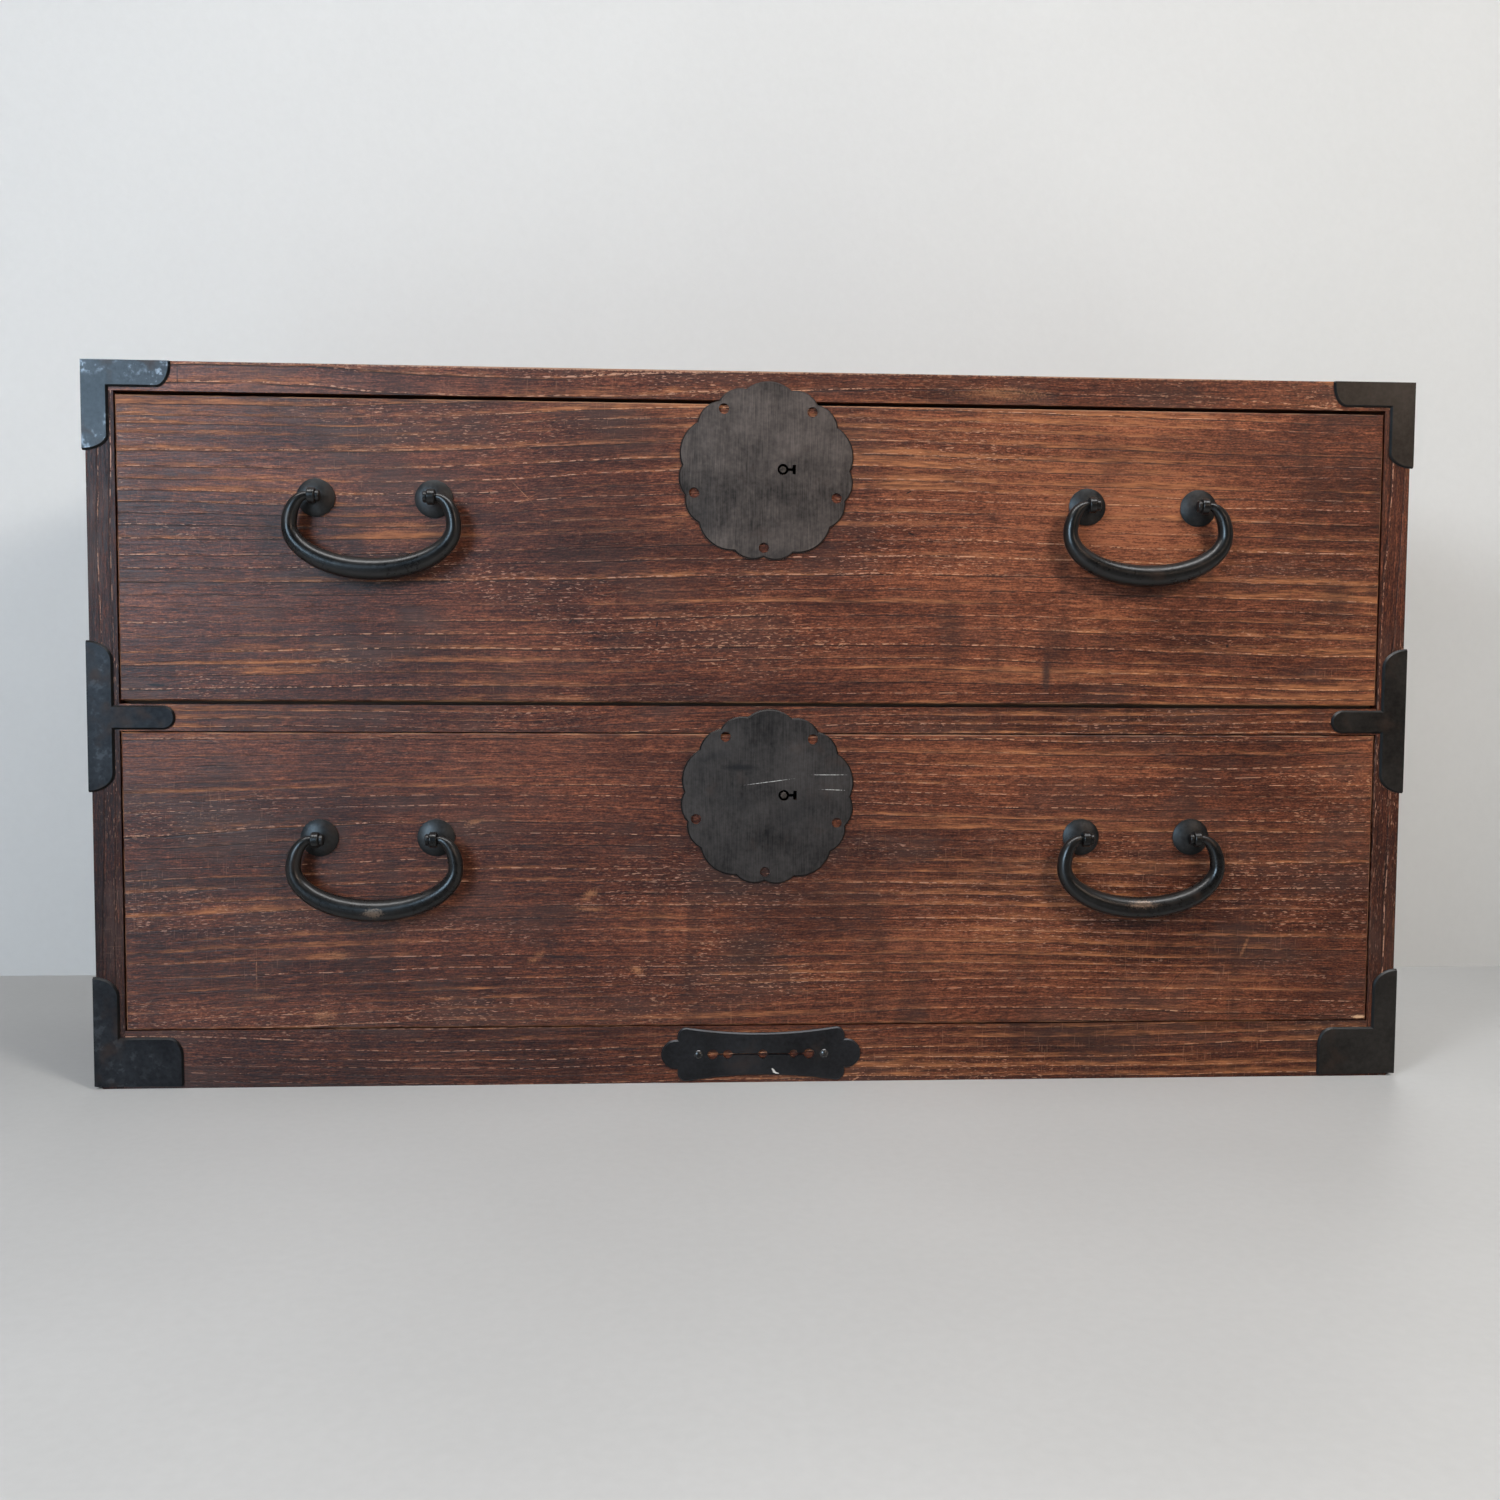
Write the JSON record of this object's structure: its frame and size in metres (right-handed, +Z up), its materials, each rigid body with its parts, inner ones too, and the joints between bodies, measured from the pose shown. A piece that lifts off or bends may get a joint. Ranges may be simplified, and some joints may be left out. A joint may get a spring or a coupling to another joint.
{
  "type": "tansu chest",
  "caption": "Low wooden tansu chest with drawers one above another, bail handles, scalloped round lock plates and black iron corner plates.",
  "frame": {"origin": "on the floor under the middle of the chest, its handles included", "axes": "+Z up, +X to the viewer's right along the chest's length, drawers open towards -Y"},
  "size_m": [0.903, 0.3808, 0.4855],
  "materials": {
    "keyaki_lacquer": "worn dark reddish-brown lacquer over open-grained wood",
    "inner_wood": "unfinished aged softwood",
    "black_iron": "blackened hand-forged iron, worn at the edges",
    "lock_iron": "grey-brown iron sheet with fine brushing"
  },
  "bodies": {
    "case": {"top_board": "keyaki_lacquer", "left_side_panel": "keyaki_lacquer", "right_side_panel": "keyaki_lacquer", "bottom_board": "inner_wood", "bottom_rail": "keyaki_lacquer", "middle_rail": "keyaki_lacquer", "dust_board": "inner_wood", "lower_back_board": "inner_wood", "middle_back_board": "inner_wood", "upper_back_board": "inner_wood", "back_pegs": "inner_wood", "top_left_corner_iron": "black_iron", "top_right_corner_iron": "black_iron", "bottom_left_corner_iron": "black_iron", "bottom_right_corner_iron": "black_iron", "left_tee_iron": "black_iron", "right_tee_iron": "black_iron", "iron_nails": "black_iron", "base_plate": "black_iron", "base_plate_nails": "black_iron"},
    "upper_drawer": {"upper_drawer_front": "keyaki_lacquer", "upper_drawer_left_side": "inner_wood", "upper_drawer_right_side": "inner_wood", "upper_drawer_back": "inner_wood", "upper_drawer_bottom": "inner_wood", "upper_drawer_pegs": "inner_wood", "upper_lock_plate": "lock_iron", "upper_lock_cover": "black_iron", "upper_key_pin": "black_iron", "upper_lock_nails": "black_iron", "upper_left_handle_rosettes": "black_iron", "upper_left_handle_eyes": "black_iron", "upper_right_handle_rosettes": "black_iron", "upper_right_handle_eyes": "black_iron"},
    "upper_lock_bolt": {"upper_lock_bolt": "black_iron"},
    "upper_left_handle": {"upper_left_handle": "black_iron"},
    "upper_right_handle": {"upper_right_handle": "black_iron"},
    "lower_drawer": {"lower_drawer_front": "keyaki_lacquer", "lower_drawer_left_side": "inner_wood", "lower_drawer_right_side": "inner_wood", "lower_drawer_back": "inner_wood", "lower_drawer_bottom": "inner_wood", "lower_drawer_pegs": "inner_wood", "lower_lock_plate": "lock_iron", "lower_lock_cover": "black_iron", "lower_key_pin": "black_iron", "lower_lock_nails": "black_iron", "lower_left_handle_rosettes": "black_iron", "lower_left_handle_eyes": "black_iron", "lower_right_handle_rosettes": "black_iron", "lower_right_handle_eyes": "black_iron"},
    "lower_lock_bolt": {"lower_lock_bolt": "black_iron"},
    "lower_left_handle": {"lower_left_handle": "black_iron"},
    "lower_right_handle": {"lower_right_handle": "black_iron"}
  },
  "joints": [
    {"name": "upper_drawer_slide", "type": "slide", "parent": "case", "child": "upper_drawer", "axis": [0, -1, 0], "range_m": [0, 0.28]},
    {"name": "upper_lock_bolt_lift", "type": "slide", "parent": "upper_drawer", "child": "upper_lock_bolt", "axis": [0, 0, 1], "range_m": [0, 0.009]},
    {"name": "upper_left_handle_swing", "type": "hinge", "parent": "upper_drawer", "child": "upper_left_handle", "pos_m": [-0.2601, -0.18305, 0.3975], "axis": [-1, 0, 0], "range_deg": [-6, 170]},
    {"name": "upper_right_handle_swing", "type": "hinge", "parent": "upper_drawer", "child": "upper_right_handle", "pos_m": [0.2601, -0.18305, 0.3975], "axis": [-1, 0, 0], "range_deg": [-6, 170]},
    {"name": "lower_drawer_slide", "type": "slide", "parent": "case", "child": "lower_drawer", "axis": [0, -1, 0], "range_m": [0, 0.28]},
    {"name": "lower_lock_bolt_lift", "type": "slide", "parent": "lower_drawer", "child": "lower_lock_bolt", "axis": [0, 0, 1], "range_m": [0, 0.009]},
    {"name": "lower_left_handle_swing", "type": "hinge", "parent": "lower_drawer", "child": "lower_left_handle", "pos_m": [-0.2601, -0.18305, 0.1704], "axis": [-1, 0, 0], "range_deg": [-6, 170]},
    {"name": "lower_right_handle_swing", "type": "hinge", "parent": "lower_drawer", "child": "lower_right_handle", "pos_m": [0.2601, -0.18305, 0.1704], "axis": [-1, 0, 0], "range_deg": [-6, 170]}
  ]
}
